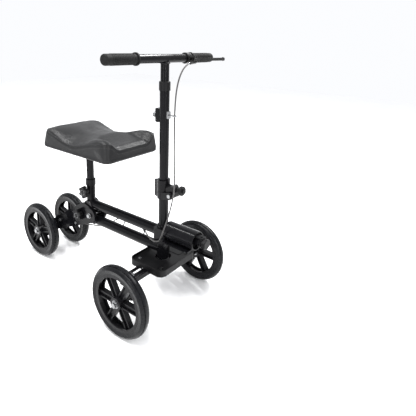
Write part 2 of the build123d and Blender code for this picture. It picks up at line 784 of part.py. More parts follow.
# ---------------------------------------------------------------- upper column
with BuildPart() as upper_column:
    add_rod((column_x, 0, block_base + 12), (column_x, 0, upper_column_top), upper_column_r)
    add_rod((column_x, 0, block_base + 16), (column_x, 0, upper_column_top + 1), upper_column_bore, Mode.SUBTRACT)
save(upper_column.part, "upper_column")

with BuildPart() as column_collar:
    collar_top = upper_column_top + column_collar_height
    add_rod((column_x, 0, upper_column_top), (column_x, 0, collar_top), column_collar_r)
    fillet(column_collar.faces().sort_by(Axis.Z)[-1].edges(), radius=3)
    add_rod((column_x, 0, upper_column_top), (column_x, 0, collar_top), stem_r + sliding_fit, Mode.SUBTRACT)
save(column_collar.part, "column_collar")

with BuildPart() as cable_guide:
    saddle_x = column_x + upper_column_r
    ring_x = column_x + guide_reach
    with Locations((saddle_x + 2, 0, guide_z)):
        Box(6, 14, 24)
    add_rod((column_x, 0, guide_z - 20), (column_x, 0, guide_z + 20), upper_column_r, Mode.SUBTRACT)
    add_hull_plate(
        Plane.XY.offset(guide_z),
        ((ring_x, 0, 7), (saddle_x + 4, 0, 3)),
        3,
    )
    add_rod((ring_x, 0, guide_z - 3), (ring_x, 0, guide_z + 3), cable_r + 0.6, Mode.SUBTRACT)
save(cable_guide.part, "cable_guide")

with BuildPart() as height_clamp:
    with Locations((column_x - upper_column_r - clamp_reach / 2 + 6, 0, clamp_z)):
        Box(clamp_reach - 12, clamp_width, clamp_height)
    fillet(height_clamp.edges().filter_by(Axis.Y), radius=5)
    add_rod((column_x, 0, clamp_z - 40), (column_x, 0, clamp_z + 40), upper_column_r, Mode.SUBTRACT)
    add_rod(
        (column_x - 60, 0, clamp_z),
        (column_x, 0, clamp_z),
        lock_pin_r + running_fit,
        Mode.SUBTRACT,
    )
save(height_clamp.part, "height_clamp")

# ---------------------------------------------------------------- handlebar
grip_outer = handlebar_span / 2
grip_inner = grip_outer - grip_length
with BuildPart() as handlebar:
    bar_end = grip_outer - 5
    add_rod((column_x, -bar_end, handlebar_height), (column_x, bar_end, handlebar_height), crossbar_r)
    add_rod((column_x, 0, stem_bottom), (column_x, 0, handlebar_height), stem_r)
    add_rod(
        (column_x, -bar_end - 1, handlebar_height),
        (column_x, bar_end + 1, handlebar_height),
        crossbar_r - handle_wall,
        Mode.SUBTRACT,
    )
    add_rod((column_x, 0, stem_bottom - 1), (column_x, 0, handlebar_height), stem_r - handle_wall, Mode.SUBTRACT)
save(handlebar.part, "handlebar")

for name, side in sides.items():
    with BuildPart() as grip:
        inner_end = (column_x, side * grip_inner, handlebar_height)
        outer_end = (column_x, side * grip_outer, handlebar_height)
        add_rod(inner_end, outer_end, grip_r)
        end_face = grip.faces().sort_by(Axis.Y)[-1 if side > 0 else 0]
        fillet(end_face.edges(), radius=6)
        flange_end = (column_x, side * (grip_inner + grip_flange_width), handlebar_height)
        add_rod(inner_end, flange_end, grip_flange_r)
        add_rod(inner_end, (column_x, side * bar_end, handlebar_height), crossbar_r, Mode.SUBTRACT)
    save(grip.part, f"grip_{name}")

lever_low = lever_z - lever_thickness / 2
lever_high = lever_z + lever_thickness / 2
with BuildPart() as lever_bracket:
    band_start = (column_x, lever_bracket_y - lever_bracket_width / 2, handlebar_height)
    band_end = (column_x, lever_bracket_y + lever_bracket_width / 2, handlebar_height)
    add_rod(band_start, band_end, lever_bracket_r)
    for ear_z in (
        lever_low - side_gap - lever_ear_thickness / 2,
        lever_high + side_gap + lever_ear_thickness / 2,
    ):
        add_hull_plate(
            Plane.XY.offset(ear_z),
            ((lever_pivot_x, lever_pivot_y, 9), (column_x + 10, lever_bracket_y, 9)),
            lever_ear_thickness,
        )
    barrel_z = lever_low - side_gap - lever_ear_thickness
    add_rod((column_x + 34, lever_bracket_y + 6, barrel_z), (column_x + 43, 77, barrel_z - 1), 4.5)
    bar_left = (column_x, lever_bracket_y - 30, handlebar_height)
    bar_right = (column_x, lever_bracket_y + 30, handlebar_height)
    add_rod(bar_left, bar_right, crossbar_r, Mode.SUBTRACT)
    add_rod(
        (lever_pivot_x, lever_pivot_y, lever_low - side_gap - lever_ear_thickness),
        (lever_pivot_x, lever_pivot_y, lever_high + side_gap + lever_ear_thickness),
        lever_pivot_r,
    )
save(lever_bracket.part, "lever_bracket")

with BuildPart() as brake_lever:
    blade_points = (
        (lever_pivot_x, lever_pivot_y, 8),
        (lever_pivot_x + 24, lever_pivot_y + 34, 6),
        (lever_tip_x, lever_tip_y - 30, 5.5),
        (lever_tip_x, lever_tip_y, 6.5),
    )
    for first, second in zip(blade_points, blade_points[1:]):
        add_hull_plate(Plane.XY.offset(lever_z), (first, second), lever_thickness)
    with Locations((lever_tip_x, lever_tip_y, lever_z)):
        Sphere(7)
    add_rod(
        (lever_pivot_x, lever_pivot_y, lever_low - 1),
        (lever_pivot_x, lever_pivot_y, lever_high + 1),
        lever_pivot_r + running_fit,
        Mode.SUBTRACT,
    )
save(brake_lever.part, "brake_lever")

# ---------------------------------------------------------------- seat
plate_top = seat_height
plate_bottom = plate_top - seat_plate_thickness
with BuildPart() as seat_post:
    add_rod((seat_post_x, 0, seat_post_bottom), (seat_post_x, 0, plate_bottom), seat_post_r)
    add_rod(
        (seat_post_x, 0, seat_post_bottom),
        (seat_post_x, 0, plate_bottom - 6),
        seat_post_r - seat_post_wall,
        Mode.SUBTRACT,
    )
    for index in range(post_hole_count):
        hole_z = post_hole_first + index * post_hole_pitch
        add_rod(
            (seat_post_x, -seat_post_r - 1, hole_z),
            (seat_post_x, -5, hole_z),
            post_hole_r + 0.3,
            Mode.SUBTRACT,
        )
    add_rod((seat_post_x, 0, plate_bottom - 30), (seat_post_x, 0, plate_bottom), seat_post_r + 3)
    with BuildSketch(Plane.XY.offset(plate_bottom)):
        with Locations((seat_centre_x - seat_plate_shift, 0)):
            RectangleRounded(seat_plate_length, seat_plate_width, 12)
    extrude(amount=seat_plate_thickness)
save(seat_post.part, "seat_post")

with BuildPart() as seat_bolts:
    for across in (-seat_bolt_x, seat_bolt_x):
        for side in sides.values():
            spot = (seat_centre_x - seat_plate_shift + across, side * seat_bolt_y)
            add_hex((*spot, plate_bottom - 5), (*spot, plate_bottom), 7)
save(seat_bolts.part, "seat_bolts")

with BuildPart() as seat_board:
    with BuildSketch(Plane.XY.offset(plate_top)):
        with Locations((seat_centre_x, 0)):
            RectangleRounded(
                seat_length - 2 * seat_board_inset,
                seat_width - 2 * seat_board_inset,
                seat_corner_r - seat_board_inset,
            )
    extrude(amount=seat_board_thickness)
save(seat_board.part, "seat_board")

with BuildPart() as seat_pad:
    with BuildSketch(Plane.XY.offset(plate_top)):
        with Locations((seat_centre_x, 0)):
            RectangleRounded(seat_length, seat_width, seat_corner_r)
    extrude(amount=seat_thickness, taper=seat_taper)
    fillet(seat_pad.faces().sort_by(Axis.Z)[-1].edges(), radius=12)
    with BuildSketch(Plane.XY.offset(plate_top)):
        with Locations((seat_centre_x, 0)):
            RectangleRounded(
                seat_length - 2 * (seat_board_inset - side_gap),
                seat_width - 2 * (seat_board_inset - side_gap),
                seat_corner_r - seat_board_inset + side_gap,
            )
    extrude(amount=seat_board_thickness, mode=Mode.SUBTRACT)
save(seat_pad.part, "seat_pad")


# ---------------------------------------------------------------- knobs
def make_star_knob(face, axis, pin_length, radius):
    """Star knob on a spring pin. The pin goes from the face against the axis."""
    outward = Vector(*axis)
    start = Vector(*face)
    neck = start + outward * 6
    with BuildPart() as knob:
        add_rod(start - outward * pin_length, neck + outward, lock_pin_r)
        add_rod(start + outward * end_float, neck, 8)
        with BuildSketch(Plane(origin=neck, z_dir=outward)):
            Circle(radius * 0.72)
            with PolarLocations(radius * 0.72, star_lobes):
                Circle(radius * 0.28)
        extrude(amount=star_knob_depth)
        fillet(knob.faces().sort_by(Axis(start, outward))[-1].edges(), radius=2)
    return knob.part


seat_knob_face = (seat_post_x, -seat_tube_r - seat_boss_stand, post_hole_first)
seat_pin = seat_tube_r + seat_boss_stand - seat_post_r - side_gap
save(make_star_knob(seat_knob_face, (0, -1, 0), seat_pin, star_knob_r), "seat_knob")
arm_knob_face = (arm_lock_x, -arm_plate_outer, arm_lock_z)
arm_pin = arm_plate_thickness + side_gap - end_float
save(make_star_knob(arm_knob_face, (0, -1, 0), arm_pin, star_knob_r), "arm_knob")

with BuildPart() as fold_knob:
    horn_face = fold_pin_x + 18
    add_rod((column_x + 40, 0, knob_horn_z), (fold_knob_x + 2, 0, knob_horn_z), lock_pin_r)
    add_rod((horn_face + end_float, 0, knob_horn_z), (fold_knob_x, 0, knob_horn_z), 8)
    add_rod((fold_knob_x, 0, knob_horn_z), (fold_knob_x + 11, 0, knob_horn_z), 16.5)
    fillet(fold_knob.faces().sort_by(Axis.X)[-1].edges(), radius=3)
    add_hex((fold_knob_x + 11, 0, knob_horn_z), (fold_knob_x + 17, 0, knob_horn_z), 8)
save(fold_knob.part, "fold_knob")

with BuildPart() as height_knob:
    clamp_face = column_x - upper_column_r - clamp_reach + 12
    add_rod((clamp_face - 2, 0, clamp_z), (column_x - upper_column_r, 0, clamp_z), lock_pin_r)
    add_rod((clamp_face - 12, 0, clamp_z), (clamp_face - end_float, 0, clamp_z), 9)
    fillet(height_knob.faces().sort_by(Axis.X)[0].edges(), radius=2.5)
save(height_knob.part, "height_knob")

# ---------------------------------------------------------------- nose stub
with BuildPart() as nose_stub:
    stub_back = nose_tube_start + nose_tube_wall + stub_tail - 40
    add_rod((stub_back, 0, nose_tube_z), (nose_end - 14, 0, nose_tube_z), stub_r)
    for ring_x in (nose_tube_end + 10, nose_tube_end + 20):
        add_rod((ring_x, 0, nose_tube_z), (ring_x + 4, 0, nose_tube_z), stub_r + 2)
save(nose_stub.part, "nose_stub")

with BuildPart() as stub_cap:
    clamp_start = nose_tube_end - 4
    clamp_end = nose_end - 14
    with Locations(((clamp_start + clamp_end) / 2, 0, nose_tube_z + stub_r + 4)):
        Box(clamp_end - clamp_start, 22, 4)
    with Locations((nose_end - 18, 0, nose_tube_z + stub_r / 2 + 3)):
        Box(8, 22, stub_r)
    add_rod((nose_end - 24, 0, nose_tube_z + stub_r + 6), (nose_end - 24, 0, nose_tube_z + stub_r + 9), 4)
    add_rod((nose_tube_end - 40, 0, nose_tube_z), (nose_end, 0, nose_tube_z), stub_r + 2, Mode.SUBTRACT)
    add_hex((nose_end - 14, 0, nose_tube_z), (nose_end, 0, nose_tube_z), 19)
    chamfer(stub_cap.faces().sort_by(Axis.X)[-1].edges(), length=2)
save(stub_cap.part, "stub_cap")


# ---------------------------------------------------------------- brake cable
def make_cable_span(points):
    """Round cable along straight runs joined by the largest tangent arcs."""
    vectors = [Vector(*point) for point in points]
    radii = []
    for before, corner, after in zip(vectors, vectors[1:], vectors[2:]):
        turn = math.radians((corner - before).get_angle(after - corner))
        shorter = min((corner - before).length, (after - corner).length)
        radii.append(0.45 * shorter / math.tan(turn / 2))
    with BuildPart() as span:
        with BuildLine() as route:
            FilletPolyline(*points, radius=radii)
        with BuildSketch(Plane(origin=vectors[0], z_dir=vectors[1] - vectors[0])):
            Circle(cable_r)
        sweep(path=route.line)
    expected = math.pi * cable_r**2 * route.wires()[0].length
    print(f"cable: volume ratio {span.part.volume / expected:.4f}, least radius {min(radii):.0f}")
    return span.part


cable_routes = {
    "brake_cable_bar": (
        (334, 74, 889),
        (337, 50, 882),
        (339, 24, 860),
        (338, 7, 820),
        (336, 1, 770),
        (335, 0, 720),
    ),
    "brake_cable_column": (
        (335, 0, 719),
        (337, -2, 675),
        (343, -9, 620),
        (352, -18, 565),
        (361, -26, 510),
        (364, -31, 470),
        (359, -33, 440),
    ),
    "brake_cable_frame": (
        (358.8, -33.1, 438.8),
        (352, -35, 405),
        (343, -38, 370),
        (334, -43, 338),
        (324, -46, 305),
        (308, -42, 276),
        (275, -33, 262),
        (238, -20, 260),
        (205, 0, 260),
        (170, 18, 261),
        (132, 25, 266),
        (92, 25, 269),
        (54, 25, 266),
        (20, 26, 250),
        (-6, 26, 229),
        (-28, 20, 210),
        (-50, 12, 202),
    ),
    "brake_cable_arm": (
        (-51.1, 11.6, 201.6),
        (-80, 6, 195),
        (-115, 0, 190),
        (-155, -6, 186),
        (-200, -12, 182),
        (-245, -17, 180),
        (-297, -19.5, 181),
    ),
}
for label, points in cable_routes.items():
    save(make_cable_span(points), label)

frame_route = cable_routes["brake_cable_frame"]
with BuildPart() as cable_clips:
    for run in clip_runs:
        run_start = Vector(*frame_route[run])
        run_end = Vector(*frame_route[run + 1])
        middle = (run_start + run_end) / 2
        along = (run_end - run_start).normalized()
        add_rod((*(middle - along * 4),), (*(middle + along * 4),), cable_r + 2)
        add_rod((*middle,), (middle.X, 6, lower_beam_z + 12), 2)
        add_rod((*(middle - along * 6),), (*(middle + along * 6),), cable_r + cable_clearance, Mode.SUBTRACT)
        add_rod((middle.X - 9, 0, lower_beam_z), (middle.X + 9, 0, lower_beam_z), beam_tube_r, Mode.SUBTRACT)
save(cable_clips.part, "cable_clips")
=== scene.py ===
"""Looks for the seated knee scooter: camera, light, materials and the soft and fine pieces.

Metres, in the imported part's frame: +X forward, +Y left, +Z up, ground at z = 0.
"""

import json
import math

import bmesh
import bpy
from mathutils import Matrix, Vector
from mathutils.bvhtree import BVHTree


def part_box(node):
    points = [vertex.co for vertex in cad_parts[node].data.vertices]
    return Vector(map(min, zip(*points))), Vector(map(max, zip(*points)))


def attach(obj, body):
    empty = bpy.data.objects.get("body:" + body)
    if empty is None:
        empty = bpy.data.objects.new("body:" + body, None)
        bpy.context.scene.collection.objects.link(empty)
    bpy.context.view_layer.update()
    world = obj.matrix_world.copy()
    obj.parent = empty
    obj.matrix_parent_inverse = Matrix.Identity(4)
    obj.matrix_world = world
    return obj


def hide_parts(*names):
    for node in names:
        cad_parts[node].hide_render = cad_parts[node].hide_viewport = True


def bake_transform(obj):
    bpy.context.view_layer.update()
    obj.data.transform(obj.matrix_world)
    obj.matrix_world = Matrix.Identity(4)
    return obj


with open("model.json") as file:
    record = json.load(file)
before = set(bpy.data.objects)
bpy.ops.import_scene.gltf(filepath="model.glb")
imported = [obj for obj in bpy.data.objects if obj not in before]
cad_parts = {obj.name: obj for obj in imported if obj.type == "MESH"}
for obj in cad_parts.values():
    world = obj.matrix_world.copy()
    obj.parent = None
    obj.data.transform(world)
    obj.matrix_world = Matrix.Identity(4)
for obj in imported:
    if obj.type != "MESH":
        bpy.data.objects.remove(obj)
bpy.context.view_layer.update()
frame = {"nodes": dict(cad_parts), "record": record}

# ---------------------------------------------------------------- camera and light
CAMERA_PLACE = Vector((1.1503, -0.9675, 0.9631))
CAMERA_YAW = math.radians(125.06)
CAMERA_PITCH = math.radians(-13.64)
CAMERA_ROLL = math.radians(2.11)
CAMERA_FOCAL = 0.9421
CAMERA_SHIFT_Y = -0.173
FLOOR_SIZE = 14.0


def make_camera():
    """Camera at the photograph's viewing angle."""
    forward = Vector(
        (
            math.cos(CAMERA_PITCH) * math.cos(CAMERA_YAW),
            math.cos(CAMERA_PITCH) * math.sin(CAMERA_YAW),
            math.sin(CAMERA_PITCH),
        )
    )
    level_right = forward.cross(Vector((0, 0, 1))).normalized()
    level_up = level_right.cross(forward)
    right = math.cos(CAMERA_ROLL) * level_right + math.sin(CAMERA_ROLL) * level_up
    up = math.cos(CAMERA_ROLL) * level_up - math.sin(CAMERA_ROLL) * level_right
    data = bpy.data.cameras.new("camera")
    data.sensor_width = 36
    data.lens = CAMERA_FOCAL * data.sensor_width
    data.shift_y = CAMERA_SHIFT_Y
    data.clip_start = 0.05
    camera = bpy.data.objects.new("camera", data)
    camera.matrix_world = Matrix.Translation(CAMERA_PLACE) @ Matrix(
        (
            (right.x, up.x, -forward.x),
            (right.y, up.y, -forward.y),
            (right.z, up.z, -forward.z),
        )
    ).to_4x4()
    bpy.context.scene.collection.objects.link(camera)
    bpy.context.scene.camera = camera


def add_softbox(name, place, target, width, height, power):
    """Rectangular area light aimed at a point."""
    data = bpy.data.lights.new(name, "AREA")
    data.shape = "RECTANGLE"
    data.size = width
    data.size_y = height
    data.energy = power
    light = bpy.data.objects.new(name, data)
    light.location = place
    light.rotation_euler = (Vector(target) - Vector(place)).to_track_quat("-Z", "Y").to_euler()
    bpy.context.scene.collection.objects.link(light)


def make_studio():
    """Pale floor, a soft white surround and four softboxes."""
    world = bpy.data.worlds.new("studio")
    world.use_nodes = True
    background = world.node_tree.nodes["Background"]
    background.inputs["Color"].default_value = (0.97, 0.98, 1.0, 1)
    background.inputs["Strength"].default_value = 1.0
    bpy.context.scene.world = world
    bpy.context.scene.view_settings.view_transform = "Standard"
    add_softbox("key", (0.6, 1.9, 3.0), (0.0, 0.0, 0.4), 2.4, 0.22, 120)
    add_softbox("front_strip", (3.2, -1.1, 1.5), (0.1, 0.0, 0.5), 0.14, 2.2, 36)
    add_softbox("side_strip", (0.5, -3.3, 1.5), (0.0, 0.0, 0.5), 0.14, 2.2, 36)
    add_softbox("overhead", (-0.4, -0.9, 3.0), (0.0, 0.0, 0.3), 3.0, 0.14, 100)
    mesh = bpy.data.meshes.new("floor")
    half = FLOOR_SIZE / 2
    mesh.from_pydata(
        [(-half, -half, 0), (half, -half, 0), (half, half, 0), (-half, half, 0)],
        [],
        [(0, 1, 2, 3)],
    )
    floor = bpy.data.objects.new("floor", mesh)
    bpy.context.scene.collection.objects.link(floor)
    floor.data.materials.append(plain_floor())


# ---------------------------------------------------------------- materials
class Shader:
    """Small builder for one procedural material."""

    def __init__(self, name, roughness, metallic=0.0, specular=0.5):
        self.material = bpy.data.materials.new(name)
        self.material.use_nodes = True
        self.tree = self.material.node_tree
        self.surface = self.tree.nodes["Principled BSDF"]
        self.surface.inputs["Metallic"].default_value = metallic
        self.surface.inputs["Roughness"].default_value = roughness
        self.surface.inputs["Specular IOR Level"].default_value = specular
        self.coordinates = self.tree.nodes.new("ShaderNodeTexCoord")
        self.last_normal = None

    def noise(self, scale, detail=3.0, roughness=0.5, stretch=(1, 1, 1)):
        """Noise in metres, stretched along the axes."""
        mapping = self.tree.nodes.new("ShaderNodeMapping")
        mapping.inputs["Scale"].default_value = stretch
        node = self.tree.nodes.new("ShaderNodeTexNoise")
        node.inputs["Scale"].default_value = scale
        node.inputs["Detail"].default_value = detail
        node.inputs["Roughness"].default_value = roughness
        self.tree.links.new(self.coordinates.outputs["Object"], mapping.inputs["Vector"])
        self.tree.links.new(mapping.outputs["Vector"], node.inputs["Vector"])
        return node.outputs["Fac"]

    def cells(self, scale, feature="F1"):
        """Cell pattern in metres, for grain and pebbling."""
        node = self.tree.nodes.new("ShaderNodeTexVoronoi")
        node.feature = feature
        node.inputs["Scale"].default_value = scale
        self.tree.links.new(self.coordinates.outputs["Object"], node.inputs["Vector"])
        return node.outputs["Distance"]

    def spread(self, value, low, high, from_low=0.3, from_high=0.7):
        """Maps a pattern onto a range of numbers."""
        node = self.tree.nodes.new("ShaderNodeMapRange")
        node.inputs["From Min"].default_value = from_low
        node.inputs["From Max"].default_value = from_high
        node.inputs["To Min"].default_value = low
        node.inputs["To Max"].default_value = high
        self.tree.links.new(value, node.inputs["Value"])
        return node.outputs["Result"]

    def colour(self, value, dark, light, from_low=0.3, from_high=0.7):
        """Colours the surface between two shades by a pattern."""
        ramp = self.tree.nodes.new("ShaderNodeValToRGB")
        ramp.color_ramp.elements[0].position = from_low
        ramp.color_ramp.elements[1].position = from_high
        ramp.color_ramp.elements[0].color = (*dark, 1)
        ramp.color_ramp.elements[1].color = (*light, 1)
        self.tree.links.new(value, ramp.inputs["Fac"])
        self.tree.links.new(ramp.outputs["Color"], self.surface.inputs["Base Color"])

    def roughen(self, value, low, high):
        """Varies the roughness by a pattern."""
        self.tree.links.new(self.spread(value, low, high), self.surface.inputs["Roughness"])

    def bump(self, value, height, strength=1.0):
        """Adds relief of a height in metres on top of earlier relief."""
        node = self.tree.nodes.new("ShaderNodeBump")
        node.inputs["Strength"].default_value = strength
        node.inputs["Distance"].default_value = height
        self.tree.links.new(value, node.inputs["Height"])
        if self.last_normal is not None:
            self.tree.links.new(self.last_normal, node.inputs["Normal"])
        self.last_normal = node.outputs["Normal"]
        self.tree.links.new(self.last_normal, self.surface.inputs["Normal"])


def plain_floor():
    shader = Shader("floor", 0.9)
    shader.colour(shader.noise(1.5), (0.95, 0.95, 0.955), (0.97, 0.97, 0.97))
    return shader.material


def powder_coat():
    """Satin black powder coat with a fine orange-peel surface."""
    shader = Shader("powder_coat", 0.2, specular=0.12)
    shader.colour(shader.noise(14, 4), (0.0025, 0.0025, 0.003), (0.005, 0.005, 0.006))
    shader.roughen(shader.noise(35, 4), 0.17, 0.24)
    shader.bump(shader.noise(900, 2), 0.00006, 0.5)
    return shader.material


def moulded_plastic():
    """Black moulded plastic with a spark-eroded texture."""
    shader = Shader("moulded_plastic", 0.34, specular=0.13)
    shader.colour(shader.noise(20, 4), (0.004, 0.004, 0.0045), (0.008, 0.008, 0.0085))
    shader.roughen(shader.noise(60, 3), 0.32, 0.44)
    shader.bump(shader.noise(1600, 2), 0.00012, 0.6)
    return shader.material


def wheel_plastic():
    """Smoother glass-filled nylon of the rims."""
    shader = Shader("wheel_plastic", 0.26, specular=0.14)
    shader.colour(shader.noise(25, 4), (0.003, 0.003, 0.0035), (0.007, 0.007, 0.008))
    shader.roughen(shader.noise(50, 3), 0.24, 0.34)
    shader.bump(shader.noise(1100, 2), 0.00007, 0.5)
    return shader.material


def tyre_rubber():
    """Near-black solid tyre with uneven gloss."""
    shader = Shader("tyre_rubber", 0.27, specular=0.14)
    shader.colour(shader.noise(30, 5, 0.6), (0.003, 0.0032, 0.004), (0.007, 0.0074, 0.0085))
    shader.roughen(shader.noise(80, 4), 0.22, 0.34)
    shader.bump(shader.noise(700, 3), 0.00015, 0.5)
    return shader.material


def zinc_plate():
    """Dull zinc plating with a slight blue-grey variation."""
    shader = Shader("zinc_plate", 0.24, 1.0)
    shader.colour(shader.noise(220, 3), (0.2, 0.205, 0.215), (0.36, 0.36, 0.36))
    shader.roughen(shader.noise(300, 3), 0.18, 0.34)
    shader.bump(shader.noise(1500, 2, 0.5, (1, 1, 0.2)), 0.00004, 0.5)
    return shader.material


def grip_rubber():
    """Soft matt rubber."""
    shader = Shader("grip_rubber", 0.62, specular=0.15)
    shader.colour(shader.noise(60, 3), (0.004, 0.004, 0.004), (0.009, 0.009, 0.009))
    shader.bump(shader.noise(1200, 2), 0.00015, 0.7)
    return shader.material


def gloss_black():
    """Gloss black paint of the brake lever."""
    shader = Shader("gloss_black", 0.2, specular=0.3)
    shader.colour(shader.noise(30, 2), (0.008, 0.008, 0.008), (0.013, 0.013, 0.013))
    shader.roughen(shader.noise(60, 3), 0.16, 0.24)
    return shader.material


def leatherette():
    """Charcoal upholstery vinyl with pebbled grain."""
    shader = Shader("leatherette", 0.34, specular=0.2)
    shader.colour(shader.noise(9, 5, 0.6), (0.0085, 0.0085, 0.009), (0.0125, 0.0125, 0.013))
    shader.roughen(shader.noise(40, 4), 0.28, 0.4)
    shader.bump(shader.noise(18, 3), 0.0012, 0.35)
    shader.bump(shader.cells(620), 0.0004, 0.55)
    shader.bump(shader.noise(2200, 2), 0.00008, 0.5)
    return shader.material


def thread():
    shader = Shader("thread", 0.7)
    shader.colour(shader.noise(900, 2), (0.03, 0.03, 0.03), (0.07, 0.07, 0.07))
    return shader.material


def dark_board():
    """Black-stained plywood under the seat."""
    shader = Shader("dark_board", 0.6)
    shader.colour(shader.noise(60, 5, 0.6, (1, 12, 12)), (0.02, 0.017, 0.014), (0.05, 0.04, 0.032))
    shader.bump(shader.noise(120, 4, 0.6, (1, 14, 14)), 0.0002, 0.6)
    return shader.material


def cable_sheath():
    """Grey-taupe cable outer."""
    shader = Shader("cable_sheath", 0.38)
    shader.colour(shader.noise(90, 3), (0.03, 0.028, 0.028), (0.055, 0.051, 0.05))
    shader.roughen(shader.noise(120, 2), 0.32, 0.46)
    return shader.material


def assign_materials():
    """Gives every CAD node the material of its record slot."""
    makers = {
        "painted_tube": powder_coat,
        "moulded_plastic": moulded_plastic,
        "wheel_plastic": wheel_plastic,
        "tyre": tyre_rubber,
        "zinc_steel": zinc_plate,
        "grip_rubber": grip_rubber,
        "lever_black": gloss_black,
        "seat_vinyl": leatherette,
        "seat_board": dark_board,
        "cable_sheath": cable_sheath,
    }
    made = {slot: maker() for slot, maker in makers.items()}
    for entry in frame["record"]["subparts"]:
        node = frame["nodes"][entry["node"]]
        node.data.materials.clear()
        node.data.materials.append(made[entry["material_slot"]])
    return made


# ---------------------------------------------------------------- mesh helpers
def new_object(name, mesh, material):
    """Puts a mesh in the scene with one material."""
    piece = bpy.data.objects.new(name, mesh)
    bpy.context.scene.collection.objects.link(piece)
    mesh.materials.append(material)
    mesh.shade_smooth()
    return piece


def lathe(name, profile, centre, axis, material, segments=144):
    """Closed ring swept round an axis. The profile is (along the axis, radius) points."""
    axis = Vector(axis).normalized()
    across = axis.orthogonal().normalized()
    third = axis.cross(across)
    count = len(profile)
    points = []
    for step in range(segments):
        angle = 2 * math.pi * step / segments
        spoke = math.cos(angle) * across + math.sin(angle) * third
        points += [Vector(centre) + axis * along + spoke * radius for along, radius in profile]
    faces = []
    for step in range(segments):
        here, there = step * count, (step + 1) % segments * count
        for index in range(count):
            after = (index + 1) % count
            faces.append((here + index, here + after, there + after, there + index))
    mesh = bpy.data.meshes.new(name)
    mesh.from_pydata(points, [], faces)
    tidy = bmesh.new()
    tidy.from_mesh(mesh)
    bmesh.ops.recalc_face_normals(tidy, faces=tidy.faces)
    tidy.to_mesh(mesh)
    tidy.free()
    return new_object(name, mesh, material)


def tube_along(name, points, radius, material, closed=False, resolution=8):
    """Smooth round tube whose NURBS line has the given control points."""
    data = bpy.data.curves.new(name, "CURVE")
    data.dimensions = "3D"
    data.bevel_depth = radius
    data.bevel_resolution = 3
    data.resolution_u = resolution
    data.use_fill_caps = not closed
    spline = data.splines.new("NURBS")
    spline.points.add(len(points) - 1)
    for point, control in zip(points, spline.points):
        control.co = (*point, 1)
    spline.use_cyclic_u = closed
    spline.order_u = 3
    spline.use_endpoint_u = not closed
    source = bpy.data.objects.new(name + "_line", data)
    mesh = bpy.data.meshes.new_from_object(source)
    bpy.data.objects.remove(source)
    mesh.name = name
    return new_object(name, mesh, material)


# ---------------------------------------------------------------- seat
SEAT_VOXEL = 0.005
SEAT_STEP = 0.004
SEAT_CORNER = 0.03
SEAT_LEAN = 0.006
SEAT_REAR_LEAN = 0.009
SEAT_ROUND = 0.006
SCOOP_DEPTH = 0.041
TROUGH_DEPTH = 0.032
SEAT_POINTS = 200
CLOTH_PRESSURE = 4
CLOTH_FRAMES = 20


def smooth_step(value):
    """Smooth ramp from 0 to 1."""
    value = min(1.0, max(0.0, value))
    return value * value * (3 - 2 * value)


def seat_dip(across, along, half_width, half_length):
    """Depth of the seat's top below its crown: a scoop each side and a trough open at the front."""
    side = abs(across) / half_width
    forward = (along / half_length + 1) / 2
    scoop = SCOOP_DEPTH * math.exp(-(((forward - 0.47) / 0.26) ** 2))
    scoop *= 0.4 + 0.6 * smooth_step((side - 0.2) / 0.75)
    trough = TROUGH_DEPTH * smooth_step((forward - 0.5) / 0.4) * (1 - smooth_step((side - 0.5) / 0.34))
    return max(scoop, trough) + 0.35 * min(scoop, trough) - 0.002


def seat_edge(angle_step, count, half_length, half_width, corner):
    """Point on the seat's rounded rectangle, as (along, across), by arc length."""
    straight_x = 2 * (half_length - corner)
    straight_y = 2 * (half_width - corner)
    quarter = math.pi * corner / 2
    total = 2 * straight_x + 2 * straight_y + 4 * quarter
    at = total * angle_step / count
    legs = (
        (straight_x, (-half_length + corner, half_width), (1, 0)),
        (quarter, (half_length - corner, half_width - corner), 90),
        (straight_y, (half_length, half_width - corner), (0, -1)),
        (quarter, (half_length - corner, -half_width + corner), 0),
        (straight_x, (half_length - corner, -half_width), (-1, 0)),
        (quarter, (-half_length + corner, -half_width + corner), -90),
        (straight_y, (-half_length, -half_width + corner), (0, 1)),
        (quarter, (-half_length + corner, half_width - corner), 180),
    )
    for length, base, way in legs:
        if at <= length:
            if isinstance(way, tuple):
                return base[0] + way[0] * at, base[1] + way[1] * at
            turn = math.radians(way - 90 * at / length)
            return base[0] + corner * math.cos(turn), base[1] + corner * math.sin(turn)
        at -= length
    return -half_length + corner, half_width


def seat_outline(step, count, half_length, half_width, up):
    """Point of the outline at a height share: the walls lean in as they rise, the rear one most."""
    along, across = seat_edge(step, count, half_length, half_width, SEAT_CORNER)
    rear = SEAT_REAR_LEAN * up * smooth_step(-along / half_length)
    return along * (1 - SEAT_LEAN * up / half_length) + rear, across * (1 - SEAT_LEAN * up / half_width)


